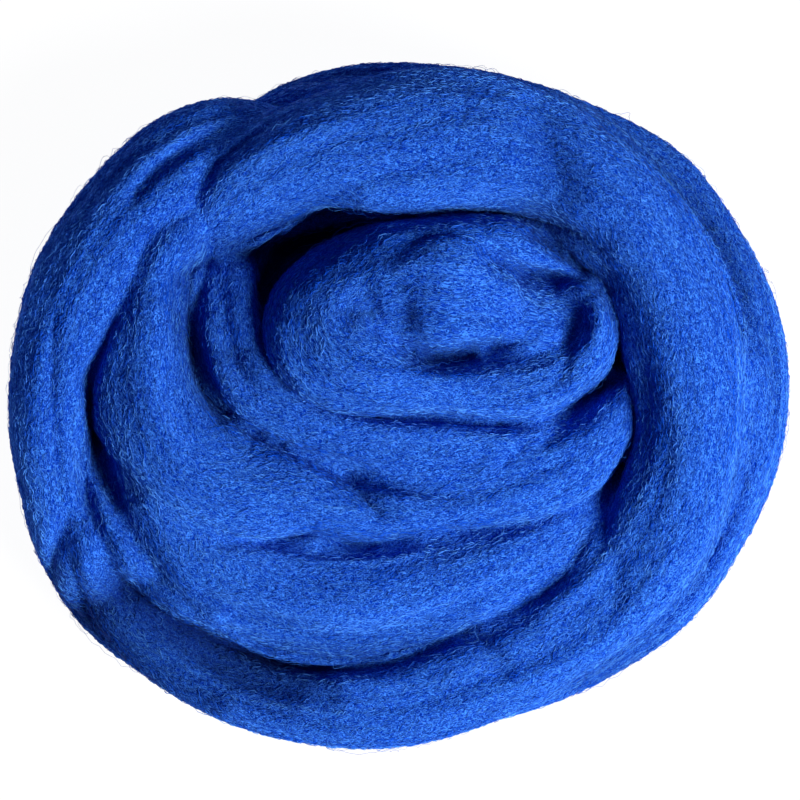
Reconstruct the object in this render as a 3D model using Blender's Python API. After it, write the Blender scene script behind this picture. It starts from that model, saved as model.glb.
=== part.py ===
"""Wool roving, wound by hand into a loose, flattened nest.

One soft strand about 28 mm wide goes round and round and over itself. The nest is one solid: each
stretch of the strand is swept along its own table of sections, one Boolean union joins the stretches,
and the underside is cut level where it rests. X runs to the right and Y to the back of the nest as seen
from above, Z is up, and the origin is in the middle of the face it stands on.

Tables are in millimetres. Run it with: blender --background --python part.py
"""
import bmesh
import bpy
import numpy as np

MM = 0.001

NODE = "roving"
COLOUR = (0.012, 0.13, 0.62, 1.0)
ROUGHNESS = 0.9

# Sweep
SECTION_STEP = 7.0        # along the strand, between two sections
SECTION_SIDES = 16
SECTION_POWER = 2.2       # 2 is an ellipse, more is boxier
END_LENGTH = 9.0          # each end is rounded off over this length
END_OPEN = 0.02           # the share of that length where the flat cap closes the nose
WELD = 0.002              # vertices closer than this are one after the union

# Base
BASE_CUT = (240.0, 240.0, 30.0)      # the block that levels the underside

# A row's columns are x, y, z, half_width, half_height. z is the height of the strand's middle.
PLACE = slice(0, 3)
HALF_WIDTH, HALF_HEIGHT = 3, 4
SIZE = slice(3, 5)

# Each table runs along one stretch of the strand. The lowest turns come first and the crown last.
TURNS = {
    "outer_coil": (
        (-16, 54, 28, 9, 10),
        (-30, 60, 30, 11, 12),
        (-41, 60.5, 33, 13, 13),
        (-53, 54.5, 35.5, 14.5, 14),
        (-65.5, 42, 37, 15, 14),
        (-75, 27, 38, 15, 14),
        (-82, 10, 37, 12.5, 14),
        (-84.5, -6, 35.5, 10, 14),
        (-82, -20, 33, 9.5, 14),
        (-78, -33, 28, 10, 14),
        (-70, -46, 22, 11, 14),
        (-57, -55, 17.5, 12, 15),
        (-41, -61, 15, 13, 15.5),
        (-22, -64.5, 14.5, 13.5, 15.5),
        (-4, -66, 14.5, 14, 15.5),
        (18, -64, 14.5, 14, 15.5),
        (40, -58, 14.5, 14, 15.5),
        (58, -46, 15.5, 14.5, 15.5),
        (71, -29, 17, 14.5, 15.5),
        (78.5, -10, 18.5, 15, 15.5),
        (79.5, 11, 19.5, 15, 15.5),
        (72, 32, 20, 15, 15.5),
        (60, 49.5, 20.5, 15, 15.5),
        (42, 60, 20.5, 14, 15),
        (20, 67, 20, 14, 15),
        (-4, 69, 18.5, 14, 15),
        (-23, 65, 16.5, 14.5, 15),
        (-37, 56, 14.5, 13.5, 15.5),
        (-52, 47, 14.5, 13, 15.5),
        (-66, 33, 14.5, 12.5, 15.5),
        (-74, 15, 14.5, 12.5, 15.5),
        (-75, -4, 14.5, 13, 15.5),
        (-69, -22, 14.5, 13, 15.5),
        (-57, -34, 14.5, 13, 15.5),
        (-40, -39, 14.5, 14, 15.5),
        (-20, -41, 14.5, 14, 15.5),
        (0, -41, 14.5, 14, 15.5),
        (20, -39, 14.5, 14, 15.5),
        (38, -30, 14.5, 14, 15.5),
        (50, -14, 14.5, 14, 15.5),
        (52, 6, 14.5, 14, 15.5),
        (46, 25, 14.5, 14, 15.5),
        (30, 38, 14.5, 14, 15.5),
        (10, 43, 14.5, 14, 15.5),
        (-12, 41, 14.5, 14, 15.5),
        (-32, 33, 14.5, 14, 15.5),
        (-45, 18, 14.5, 13.5, 15.5),
        (-47, 0, 14.5, 13.5, 15.5),
        (-37, -13, 14.5, 13, 15.5),
        (-20, -16, 14.5, 13, 15.5),
        (-2, -16, 14.5, 13, 15.5),
        (15, -13, 14.5, 12, 15.5),
        (25, -1, 14.5, 11.5, 15.5),
        (21, 13, 14.5, 11.5, 15.5),
        (7, 19, 14.5, 11, 15.5),
        (-8, 17, 14.5, 11, 15.5),
        (-16, 8, 14.5, 9.5, 15),
        (-11, -1, 15, 8, 14),
        (0, 0, 16, 7, 13),
    ),
    "heart": (
        (-38, -5, 25, 25, 16),
        (-6, -4, 27, 34, 17),
        (26, 0, 26, 28, 16),
        (40, 0, 24, 23, 14),
    ),
    "shoulder": (
        (4, 68, 20, 7, 9),
        (24, 69, 27, 9, 11),
        (43, 62.5, 31, 10, 11),
        (57, 52, 32, 9.5, 11),
        (68, 37, 31, 9, 11),
        (76, 18, 28, 9, 10),
        (78, -2, 24, 9, 9),
        (72, -20, 19, 8, 8),
    ),
    "left_inner": (
        (-36, 55, 24, 9, 12),
        (-48, 47, 32, 10, 13),
        (-55, 37, 37, 10.5, 14),
        (-58.5, 26, 38, 11, 14),
        (-60.5, 13, 39, 12, 14),
        (-59.5, -1, 40, 14, 14),
        (-52, -14, 40, 15, 14),
        (-40, -20.5, 41, 13.5, 13),
        (-26, -22.5, 42, 11, 12),
        (-13, -26.5, 42, 8.5, 11),
        (2, -27, 42, 6.5, 11),
        (17, -25, 41, 7, 11),
        (32, -21, 41, 8, 11),
        (43, -14.5, 41, 8.5, 11),
        (50.5, -6, 39.5, 6.5, 10),
        (53, 1, 34, 4.5, 8),
        (51, 8, 25, 4.5, 8),
        (46, 15, 20, 4.5, 8),
    ),
    "lower_inner": (
        (-60, 8, 28, 9, 12),
        (-61, -9, 35, 11, 13),
        (-57, -22, 37, 13, 13),
        (-50, -33, 37, 15, 13),
        (-39, -42, 37, 16, 13),
        (-25, -48, 37, 16, 13),
        (-8, -49, 37, 16, 13),
        (8, -45.5, 37, 14.5, 13),
        (22, -40.5, 37, 12.5, 13),
        (34, -35, 36, 11, 12),
        (44, -28, 33, 9, 11),
        (50, -18, 27, 8, 9),
    ),
    "lower_strip": (
        (-72, -4, 24, 5, 8),
        (-74, -18, 33, 4, 8),
        (-70, -30, 36, 5.5, 9),
        (-61, -41, 36, 7, 10),
        (-49, -48, 34, 8.5, 11),
        (-33, -52.5, 33, 9, 11),
        (-15, -53, 30, 10, 10),
    ),
    "great_arch": (
        (-48, 26, 18, 8, 10),
        (-46.5, 39, 30, 11, 13),
        (-37.5, 50.5, 38, 14, 14),
        (-20.5, 60, 41, 13.5, 15),
        (0, 61.5, 43, 17, 15),
        (18, 61.5, 43, 16.5, 15),
        (36, 56, 42, 16, 15),
        (51, 45, 42, 16, 15),
        (62, 31, 42, 16, 15),
        (69, 15, 42, 15, 15),
        (71, -2, 41, 13.8, 15),
        (69, -18, 40, 14, 15),
        (63.5, -33, 39, 14.5, 15),
        (54, -47, 37, 13, 14),
        (41, -57, 35, 12.5, 14),
        (24, -65, 33, 12, 14),
        (5, -71, 31, 11.5, 14),
        (-14, -72.5, 29, 10.5, 14),
        (-33, -68.5, 27, 10.5, 14),
        (-50, -60, 26, 11, 14),
        (-64, -49, 28, 11, 14),
        (-73, -38, 31.5, 8, 12),
        (-76, -28, 33, 5.5, 10),
        (-75, -16, 24, 5, 8),
    ),
    "lower_lobe": (
        (52, -12, 22, 8, 9),
        (53, -29, 32, 9, 11),
        (48, -41, 35, 11, 12),
        (36, -52, 33, 10, 12),
        (21, -60, 31, 10, 12),
        (5, -65.5, 27, 9, 10),
        (-10, -68, 23, 8, 9),
    ),
    "inner_fold": (
        (-40, 42, 20, 7, 10),
        (-42, 29, 32, 7.5, 11),
        (-41, 15, 36, 9.5, 12),
        (-36, 3, 38, 9.5, 12),
        (-25, -4.5, 40, 9, 12),
        (-11, -9, 41, 8.5, 12),
        (4, -11, 42, 8.5, 12),
        (18, -11, 42, 8, 12),
        (31, -10, 40, 7, 12),
        (41, -5.5, 35, 5.5, 11),
        (47, 3, 28, 4.5, 9),
    ),
    "middle_fold": (
        (-26, -10, 32, 7, 11),
        (-12, -15, 36, 7, 11),
        (2, -19, 40, 7.5, 11),
        (17, -18.5, 42, 7, 11),
        (31, -15, 42, 7, 11),
        (42, -11, 41, 5.5, 11),
        (50, -4, 37, 4.5, 9),
    ),
    "crown": (
        (50, 18, 28, 6, 8),
        (46, 28, 37, 5.5, 9),
        (36, 35.5, 43, 6, 10),
        (23, 38.5, 47, 7, 11),
        (9, 36, 47, 7.5, 12),
        (-3, 32, 46, 9.5, 13),
        (-12, 26, 45, 11.5, 13),
        (-16.5, 18.5, 46.5, 14, 13),
        (-14, 11, 49, 13.5, 13),
        (-5, 6.5, 50, 10.5, 13),
        (7, 5, 49, 9, 12),
        (20, 3.5, 47, 8.5, 11),
        (33, 4, 46, 8.5, 11),
        (43, 9.5, 45, 7, 10),
        (48, 18, 45, 4.8, 9),
        (44, 25, 43, 4.2, 8),
        (35, 26, 40, 4, 7),
    ),
    "crown_heart": (
        (-10, 20, 44, 12, 14),
        (5, 20, 45, 14, 12),
        (20, 20, 44, 14, 12),
        (30, 19, 44, 12, 11),
        (38, 18, 40, 9, 10),
        (44, 17, 36, 7, 9),
    ),
    "tongue": (
        (-6, 27, 49, 6, 9),
        (2, 26, 53, 12, 10),
        (11, 24.5, 55.5, 16, 10.5),
        (20, 23, 53, 13, 10),
        (28, 21, 48, 8, 9),
    ),
}


def clear_scene():
    for obj in list(bpy.data.objects):
        bpy.data.objects.remove(obj, do_unlink=True)


def new_collection(name):
    collection = bpy.data.collections.new(name)
    bpy.context.scene.collection.children.link(collection)
    return collection


def wool():
    material = bpy.data.materials.new("wool")
    material.use_nodes = True
    shader = material.node_tree.nodes["Principled BSDF"]
    shader.inputs["Base Color"].default_value = COLOUR
    shader.inputs["Roughness"].default_value = ROUGHNESS
    shader.inputs["Metallic"].default_value = 0.0
    material.diffuse_color = COLOUR
    return material


def along(rows, step):
    """Rows read every step millimetres along a smooth curve through a table's rows (Catmull-Rom)."""
    rows = np.array(rows, dtype=float)
    padded = np.vstack([2 * rows[0] - rows[1], rows, 2 * rows[-1] - rows[-2]])
    pieces = []
    for before, start, end, after in zip(padded, padded[1:], padded[2:], padded[3:]):
        count = max(1, round(np.linalg.norm((end - start)[PLACE]) / step))
        t = (np.arange(count) / count)[:, None]
        pieces.append(0.5 * (2 * start + (end - before) * t
                             + (2 * before - 5 * start + 4 * end - after) * t ** 2
                             + (3 * start - before - 3 * end + after) * t ** 3))
    return np.vstack(pieces + [rows[-1:]])


def round_ends(rows):
    """The rows with both ends drawn in to a round nose, and the last section all but closed."""
    steps = np.linalg.norm(np.diff(rows[:, PLACE], axis=0), axis=1)
    travelled = np.concatenate([[0.0], np.cumsum(steps)])
    to_end = np.minimum(travelled, travelled[-1] - travelled)
    share = np.clip(to_end / END_LENGTH, END_OPEN, 1.0)
    rounded = rows.copy()
    rounded[:, SIZE] *= np.sqrt(1.0 - (1.0 - share) ** 2)[:, None]
    return rounded


def section_corners():
    """Corners of the unit section, a soft-cornered ellipse, as columns across and up."""
    angles = np.linspace(0.0, 2 * np.pi, SECTION_SIDES, endpoint=False)
    corners = np.column_stack([np.cos(angles), np.sin(angles)])
    return np.sign(corners) * np.abs(corners) ** (2.0 / SECTION_POWER)


def sweep(name, table, collection):
    """A closed mesh object: the section swept along a table's rows, kept upright, with a cap at each end."""
    rows = round_ends(along(table, SECTION_STEP))
    centres = rows[:, PLACE]
    ahead = np.gradient(centres, axis=0)
    ahead /= np.linalg.norm(ahead, axis=1)[:, None]
    across = np.cross(ahead, (0.0, 0.0, 1.0))
    across /= np.linalg.norm(across, axis=1)[:, None]
    upward = np.cross(across, ahead)

    bm = bmesh.new()
    rings = []
    for centre, side, up, row in zip(centres, across, upward, rows):
        points = [centre + side * row[HALF_WIDTH] * u + up * row[HALF_HEIGHT] * v
                  for u, v in section_corners()]
        rings.append([bm.verts.new(point * MM) for point in points])
    for near, far in zip(rings, rings[1:]):
        for i in range(SECTION_SIDES):
            j = (i + 1) % SECTION_SIDES
            bm.faces.new((near[i], near[j], far[j], far[i]))
    bm.faces.new(rings[0][::-1])
    bm.faces.new(rings[-1])
    bmesh.ops.recalc_face_normals(bm, faces=bm.faces)

    mesh = bpy.data.meshes.new(name)
    bm.to_mesh(mesh)
    bm.free()
    obj = bpy.data.objects.new(name, mesh)
    collection.objects.link(obj)
    return obj


def base_cutter(collection):
    """The block whose top face is the level that the nest rests on."""
    bpy.ops.mesh.primitive_cube_add(size=1.0, location=(0.0, 0.0, -BASE_CUT[2] * MM / 2))
    cutter = bpy.context.object
    cutter.name = "base_cutter"
    cutter.dimensions = [side * MM for side in BASE_CUT]
    bpy.ops.object.transform_apply(location=True, rotation=False, scale=True)
    bpy.context.collection.objects.unlink(cutter)
    collection.objects.link(cutter)
    return cutter


def hide_helper(obj):
    obj.hide_render = True
    obj.display_type = "WIRE"


def joined(obj, turns, cutter):
    """Join every turn to the object, then take the cutter away. A turn may cross itself in a tight bend."""
    union = obj.modifiers.new("join_turns", "BOOLEAN")
    union.operation = "UNION"
    union.operand_type = "COLLECTION"
    union.collection = turns
    union.use_self = True
    level = obj.modifiers.new("level_base", "BOOLEAN")
    level.operation = "DIFFERENCE"
    level.object = cutter
    evaluated = obj.evaluated_get(bpy.context.evaluated_depsgraph_get())
    mesh = bpy.data.meshes.new_from_object(evaluated)
    obj.modifiers.clear()
    obj.data = mesh


def shells(bm):
    """The mesh's shells, each a list of its faces, largest first. Two shells may touch along an edge."""
    found = []
    seen = set()
    for start in bm.faces:
        if start in seen:
            continue
        seen.add(start)
        shell = [start]
        for face in shell:
            neighbours = [other for edge in face.edges if edge.is_manifold for other in edge.link_faces]
            for other in neighbours:
                if other not in seen:
                    seen.add(other)
                    shell.append(other)
        found.append(shell)
    return sorted(found, key=len, reverse=True)


def fill_air_pockets(mesh):
    """Weld the mesh, and drop the small shells around air that is shut in between the turns."""
    bm = bmesh.new()
    bm.from_mesh(mesh)
    bmesh.ops.triangulate(bm, faces=bm.faces)
    bmesh.ops.remove_doubles(bm, verts=bm.verts, dist=WELD * MM)
    for pocket in shells(bm)[1:]:
        bmesh.ops.delete(bm, geom=pocket, context="FACES")
    bm.to_mesh(mesh)
    bm.free()


def build_roving():
    parts = new_collection("wool_roving")
    turns = new_collection("turns")
    cutters = new_collection("cutters")
    first, *others = TURNS.items()
    roving = sweep(NODE, first[1], parts)
    for name, table in others:
        hide_helper(sweep(name, table, turns))
    cutter = base_cutter(cutters)
    hide_helper(cutter)
    joined(roving, turns, cutter)
    fill_air_pockets(roving.data)

    roving.data.materials.clear()
    roving.data.materials.append(wool())
    roving.data.shade_smooth()
    return roving


clear_scene()
build_roving()
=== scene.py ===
"""The looks of the wool roving: its skin with ridges and folds, its fibres and its stray hairs.

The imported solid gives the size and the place. The strand's tables are the solid's own, in
millimetres, swept here in finer steps and merged into one soft skin. Everything that lies on the
skin follows the strand: each face knows which stretch of the strand it belongs to, how far along
it is, and how far round.
"""
import math

import bpy
import numpy as np
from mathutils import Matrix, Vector
from mathutils.bvhtree import BVHTree


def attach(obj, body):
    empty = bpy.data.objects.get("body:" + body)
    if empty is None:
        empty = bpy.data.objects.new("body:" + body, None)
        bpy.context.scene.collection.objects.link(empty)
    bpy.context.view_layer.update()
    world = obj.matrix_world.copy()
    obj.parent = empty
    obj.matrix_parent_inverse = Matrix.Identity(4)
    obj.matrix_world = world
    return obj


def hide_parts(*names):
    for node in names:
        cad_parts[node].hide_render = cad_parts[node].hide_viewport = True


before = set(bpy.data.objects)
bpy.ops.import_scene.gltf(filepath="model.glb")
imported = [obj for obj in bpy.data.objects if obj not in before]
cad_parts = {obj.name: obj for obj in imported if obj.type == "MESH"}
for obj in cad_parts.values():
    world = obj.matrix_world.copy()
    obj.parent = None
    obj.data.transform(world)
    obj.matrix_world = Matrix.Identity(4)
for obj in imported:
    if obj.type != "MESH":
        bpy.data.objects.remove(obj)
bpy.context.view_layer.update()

MM = 0.001                 # in metres. Lengths below are in millimetres unless they say otherwise.
NODE = "roving"
BODY = "root"
TINY = 1e-9                # keeps a division from failing

# A row's columns are x, y, z, half width, half height. z is the height of the strand's middle.
PLACE = slice(0, 3)
SIZE = slice(3, 5)

# Each table runs along one stretch of the strand. The lowest turns come first, the crown last.
TURNS = {
    "outer_coil": (
        (-16, 54, 28, 9, 10),
        (-30, 60, 30, 11, 12),
        (-41, 60.5, 33, 13, 13),
        (-53, 54.5, 35.5, 14.5, 14),
        (-65.5, 42, 37, 15, 14),
        (-75, 27, 38, 15, 14),
        (-82, 10, 37, 12.5, 14),
        (-84.5, -6, 35.5, 10, 14),
        (-82, -20, 33, 9.5, 14),
        (-78, -33, 28, 10, 14),
        (-70, -46, 22, 11, 14),
        (-57, -55, 17.5, 12, 15),
        (-41, -61, 15, 13, 15.5),
        (-22, -64.5, 14.5, 13.5, 15.5),
        (-4, -66, 14.5, 14, 15.5),
        (18, -64, 14.5, 14, 15.5),
        (40, -58, 14.5, 14, 15.5),
        (58, -46, 15.5, 14.5, 15.5),
        (71, -29, 17, 14.5, 15.5),
        (78.5, -10, 18.5, 15, 15.5),
        (79.5, 11, 19.5, 15, 15.5),
        (72, 32, 20, 15, 15.5),
        (60, 49.5, 20.5, 15, 15.5),
        (42, 60, 20.5, 14, 15),
        (20, 67, 20, 14, 15),
        (-4, 69, 18.5, 14, 15),
        (-23, 65, 16.5, 14.5, 15),
        (-37, 56, 14.5, 13.5, 15.5),
        (-52, 47, 14.5, 13, 15.5),
        (-66, 33, 14.5, 12.5, 15.5),
        (-74, 15, 14.5, 12.5, 15.5),
        (-75, -4, 14.5, 13, 15.5),
        (-69, -22, 14.5, 13, 15.5),
        (-57, -34, 14.5, 13, 15.5),
        (-40, -39, 14.5, 14, 15.5),
        (-20, -41, 14.5, 14, 15.5),
        (0, -41, 14.5, 14, 15.5),
        (20, -39, 14.5, 14, 15.5),
        (38, -30, 14.5, 14, 15.5),
        (50, -14, 14.5, 14, 15.5),
        (52, 6, 14.5, 14, 15.5),
        (46, 25, 14.5, 14, 15.5),
        (30, 38, 14.5, 14, 15.5),
        (10, 43, 14.5, 14, 15.5),
        (-12, 41, 14.5, 14, 15.5),
        (-32, 33, 14.5, 14, 15.5),
        (-45, 18, 14.5, 13.5, 15.5),
        (-47, 0, 14.5, 13.5, 15.5),
        (-37, -13, 14.5, 13, 15.5),
        (-20, -16, 14.5, 13, 15.5),
        (-2, -16, 14.5, 13, 15.5),
        (15, -13, 14.5, 12, 15.5),
        (25, -1, 14.5, 11.5, 15.5),
        (21, 13, 14.5, 11.5, 15.5),
        (7, 19, 14.5, 11, 15.5),
        (-8, 17, 14.5, 11, 15.5),
        (-16, 8, 14.5, 9.5, 15),
        (-11, -1, 15, 8, 14),
        (0, 0, 16, 7, 13),
    ),
    "heart": (
        (-38, -5, 25, 25, 16),
        (-6, -4, 27, 34, 17),
        (26, 0, 26, 28, 16),
        (40, 0, 24, 23, 14),
    ),
    "shoulder": (
        (4, 68, 20, 7, 9),
        (24, 69, 27, 9, 11),
        (43, 62.5, 31, 10, 11),
        (57, 52, 32, 9.5, 11),
        (68, 37, 31, 9, 11),
        (76, 18, 28, 9, 10),
        (78, -2, 24, 9, 9),
        (72, -20, 19, 8, 8),
    ),
    "left_inner": (
        (-36, 55, 24, 9, 12),
        (-48, 47, 32, 10, 13),
        (-55, 37, 37, 10.5, 14),
        (-58.5, 26, 38, 11, 14),
        (-60.5, 13, 39, 12, 14),
        (-59.5, -1, 40, 14, 14),
        (-52, -14, 40, 15, 14),
        (-40, -20.5, 41, 13.5, 13),
        (-26, -22.5, 42, 11, 12),
        (-13, -26.5, 42, 8.5, 11),
        (2, -27, 42, 6.5, 11),
        (17, -25, 41, 7, 11),
        (32, -21, 41, 8, 11),
        (43, -14.5, 41, 8.5, 11),
        (50.5, -6, 39.5, 6.5, 10),
        (53, 1, 34, 4.5, 8),
        (51, 8, 25, 4.5, 8),
        (46, 15, 20, 4.5, 8),
    ),
    "lower_inner": (
        (-60, 8, 28, 9, 12),
        (-61, -9, 35, 11, 13),
        (-57, -22, 37, 13, 13),
        (-50, -33, 37, 15, 13),
        (-39, -42, 37, 16, 13),
        (-25, -48, 37, 16, 13),
        (-8, -49, 37, 16, 13),
        (8, -45.5, 37, 14.5, 13),
        (22, -40.5, 37, 12.5, 13),
        (34, -35, 36, 11, 12),
        (44, -28, 33, 9, 11),
        (50, -18, 27, 8, 9),
    ),
    "lower_strip": (
        (-72, -4, 24, 5, 8),
        (-74, -18, 33, 4, 8),
        (-70, -30, 36, 5.5, 9),
        (-61, -41, 36, 7, 10),
        (-49, -48, 34, 8.5, 11),
        (-33, -52.5, 33, 9, 11),
        (-15, -53, 30, 10, 10),
    ),
    "great_arch": (
        (-48, 26, 18, 8, 10),
        (-46.5, 39, 30, 11, 13),
        (-37.5, 50.5, 38, 14, 14),
        (-20.5, 60, 41, 13.5, 15),
        (0, 61.5, 43, 17, 15),
        (18, 61.5, 43, 16.5, 15),
        (36, 56, 42, 16, 15),
        (51, 45, 42, 16, 15),
        (62, 31, 42, 16, 15),
        (69, 15, 42, 15, 15),
        (71, -2, 41, 13.8, 15),
        (69, -18, 40, 14, 15),
        (63.5, -33, 39, 14.5, 15),
        (54, -47, 37, 13, 14),
        (41, -57, 35, 12.5, 14),
        (24, -65, 33, 12, 14),
        (5, -71, 31, 11.5, 14),
        (-14, -72.5, 29, 10.5, 14),
        (-33, -68.5, 27, 10.5, 14),
        (-50, -60, 26, 11, 14),
        (-64, -49, 28, 11, 14),
        (-73, -38, 31.5, 8, 12),
        (-76, -28, 33, 5.5, 10),
        (-75, -16, 24, 5, 8),
    ),
    "lower_lobe": (
        (52, -12, 22, 8, 9),
        (53, -29, 32, 9, 11),
        (48, -41, 35, 11, 12),
        (36, -52, 33, 10, 12),
        (21, -60, 31, 10, 12),
        (5, -65.5, 27, 9, 10),
        (-10, -68, 23, 8, 9),
    ),
    "inner_fold": (
        (-40, 42, 20, 7, 10),
        (-42, 29, 32, 7.5, 11),
        (-41, 15, 36, 9.5, 12),
        (-36, 3, 38, 9.5, 12),
        (-25, -4.5, 40, 9, 12),
        (-11, -9, 41, 8.5, 12),
        (4, -11, 42, 8.5, 12),
        (18, -11, 42, 8, 12),
        (31, -10, 40, 7, 12),
        (41, -5.5, 35, 5.5, 11),
        (47, 3, 28, 4.5, 9),
    ),
    "middle_fold": (
        (-26, -10, 32, 7, 11),
        (-12, -15, 36, 7, 11),
        (2, -19, 40, 7.5, 11),
        (17, -18.5, 42, 7, 11),
        (31, -15, 42, 7, 11),
        (42, -11, 41, 5.5, 11),
        (50, -4, 37, 4.5, 9),
    ),
    "crown": (
        (50, 18, 28, 6, 8),
        (46, 28, 37, 5.5, 9),
        (36, 35.5, 43, 6, 10),
        (23, 38.5, 47, 7, 11),
        (9, 36, 47, 7.5, 12),
        (-3, 32, 46, 9.5, 13),
        (-12, 26, 45, 11.5, 13),
        (-16.5, 18.5, 46.5, 14, 13),
        (-14, 11, 49, 13.5, 13),
        (-5, 6.5, 50, 10.5, 13),
        (7, 5, 49, 9, 12),
        (20, 3.5, 47, 8.5, 11),
        (33, 4, 46, 8.5, 11),
        (43, 9.5, 45, 7, 10),
        (48, 18, 45, 4.8, 9),
        (44, 25, 43, 4.2, 8),
        (35, 26, 40, 4, 7),
    ),
    "crown_heart": (
        (-10, 20, 44, 12, 14),
        (5, 20, 45, 14, 12),
        (20, 20, 44, 14, 12),
        (30, 19, 44, 12, 11),
        (38, 18, 40, 9, 10),
        (44, 17, 36, 7, 9),
    ),
    "tongue": (
        (-6, 27, 49, 6, 9),
        (2, 26, 53, 12, 10),
        (11, 24.5, 55.5, 16, 10.5),
        (20, 23, 53, 13, 10),
        (28, 21, 48, 8, 9),
    ),
}


# The photograph: its size and the nest's centre in pixels, and how many millimetres a pixel is
PHOTO_PIXELS = 800
PHOTO_CENTRE = (398.5, 401.0)
PIXEL = 0.2414
CAMERA_HEIGHT = 2200.0
SHARP_HEIGHT = 38.0        # the height at which a pixel is PIXEL wide
SENSOR_WIDTH = 36.0
CLIP_END = 10.0            # in metres

# Stage and light
FLOOR_SIZE = 3000.0
FLOOR_GAP = 0.3            # between the floor and the roving
FLOOR_FINISH = {           # it glows to the photograph's near-white
    "Base Color": (0.08, 0.08, 0.08, 1.0),
    "Roughness": 1.0,
    "Specular IOR Level": 0.0,
    "Emission Color": (1.0, 1.0, 1.0, 1.0),
    "Emission Strength": 0.97,
}
LAMPS = (                  # name, place in metres, diameter, watts, colour
    ("key", (0.83, -0.54, 0.90), 0.8, 31.5, (1.0, 0.97, 0.93)),
)
AMBIENT = (0.1, 0.36, 1.0, 1.0)  # weak light from all round, for the creases
AMBIENT_STRENGTH = 0.12

# Wool finish
WOOL_FINISH = {
    "Roughness": 0.85,
    "Specular IOR Level": 0.03,
    "Sheen Weight": 0.03,
    "Sheen Roughness": 0.5,
    "Sheen Tint": (0.35, 0.6, 1.0, 1.0),
}
DEEP_BLUE = (0.0003, 0.022, 0.32, 1.0)
MID_BLUE = (0.0005, 0.042, 0.50, 1.0)
PALE_BLUE = (0.05, 0.25, 0.97, 1.0)
# painted shade: the deep blue that the colour in a fold is darkened toward
PAINTED_SHADE_BLUE = (0.0002, 0.008, 0.12, 1.0)
BUMP = 1.0

# The skin's painted strokes, as fine as fibres, sway with the crimp and lie over longer streaks
CRIMP_LENGTH = 1.2
CRIMP_WIDTH = 1.6
CRIMP_SWAY = 1.2
CRIMP_DETAIL = 1.0         # octaves of noise
STROKES = (                # length, width, turn from the strand's way, seed
    (1.6, 0.42, 0.0, 0.0),
    (1.3, 0.42, 0.5, 30.0),
    (1.3, 0.42, -0.7, 60.0),
)
STROKE_EDGES = (0.045, 0.015)  # how far the noise is from its middle at a stroke's edge and core
STROKE_DETAIL = 0.0
STROKE_HEIGHT = 0.08
STREAK = (26.0, 1.9, 0.0, 11.0)  # the same four as for a stroke
STREAK_DETAIL = (3.0, 0.6)  # octaves of noise, and how strong each is beside the one before
STREAK_EDGES = (0.34, 0.66)
STREAK_HEIGHT = 0.3
STREAK_SHARE = 0.4         # of what makes the skin's blue deeper or paler
COMBED_EDGES = (-0.6, 0.6)
COMBED_SHARE = 0.6

# Fibres that lie on the skin
TONE_NAME = "tone"         # how pale a vertex is
FIBRE_PIECES = 3
FIBRES_EACH = 16000
FIBRE_SEED = 100           # the first piece's, and each piece takes the next
FIBRE_SIDES = 3
FIBRE_JOINTS = 4           # points along a fibre, so that a fibre is 12 triangles
FIBRE_LENGTHS = (2.3, 0.35, 1.0, 8.0)  # the usual one, how they spread, shortest, longest
FIBRE_TURN = 0.38          # radians by which a fibre strays from the strand's way
FIBRE_CRIMP = 0.2          # how far each joint lies to one side or the other
CRIMP_SHARES = (0.3, 1.5)  # least and most of that
FIBRE_LOFT = 0.1           # how far a fibre's middle usually rises
FIBRE_LEAST_LOFT = 0.1
FIBRE_ROUGHNESS = 0.05     # chance ups and downs of each joint
FIBRE_HIGHEST = 0.9
FIBRE_SUNK = -0.06
FIBRE_RADIUS = (0.06, 0.11)
FIBRE_DEEP = (0.004, 0.09, 0.70, 1.0)
FIBRE_PALE = (0.09, 0.35, 1.0, 1.0)
FIBRE_CONTRAST = 1.6       # more leaves fewer fibres pale
FIBRE_STREAK = 0.5         # how much the streaks count beside chance

# Where fibres start
FOLD_REACH = 12.0          # a face with wool this close in front of it is in a fold
FOLD_CLEAR = 0.3           # how far off its face the look for that wool starts
FOLDED_SHARE = 0.5
FACE_TILTS = (-0.6, 0.0, 0.4)  # of a normal's z: face down, sideways, up
TILT_SHARES = (0.08, 0.5, 1.0)

# Stray hairs
HAIRS = 600
HAIR_SEED = 200
HAIR_JOINTS = 26
HAIR_LENGTHS = (14.0, 0.4, 6.0, 40.0)  # the same four as for a fibre
HAIR_TURN = 0.8
HAIR_PITCH = (2.5, 6.0)    # length of one curl
HAIR_CURL = (0.2, 0.8)     # half its width
HAIR_CURL_RISE = 0.5       # its height, as a share of its width
HAIR_WANDER = 0.45         # to the side, from joint to joint
HAIR_LOFT = (0.3, 1.4)
HAIR_TAPER = 0.7           # how abruptly a hair rises from its ends
HAIR_RADIUS = (0.03, 0.05)

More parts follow.
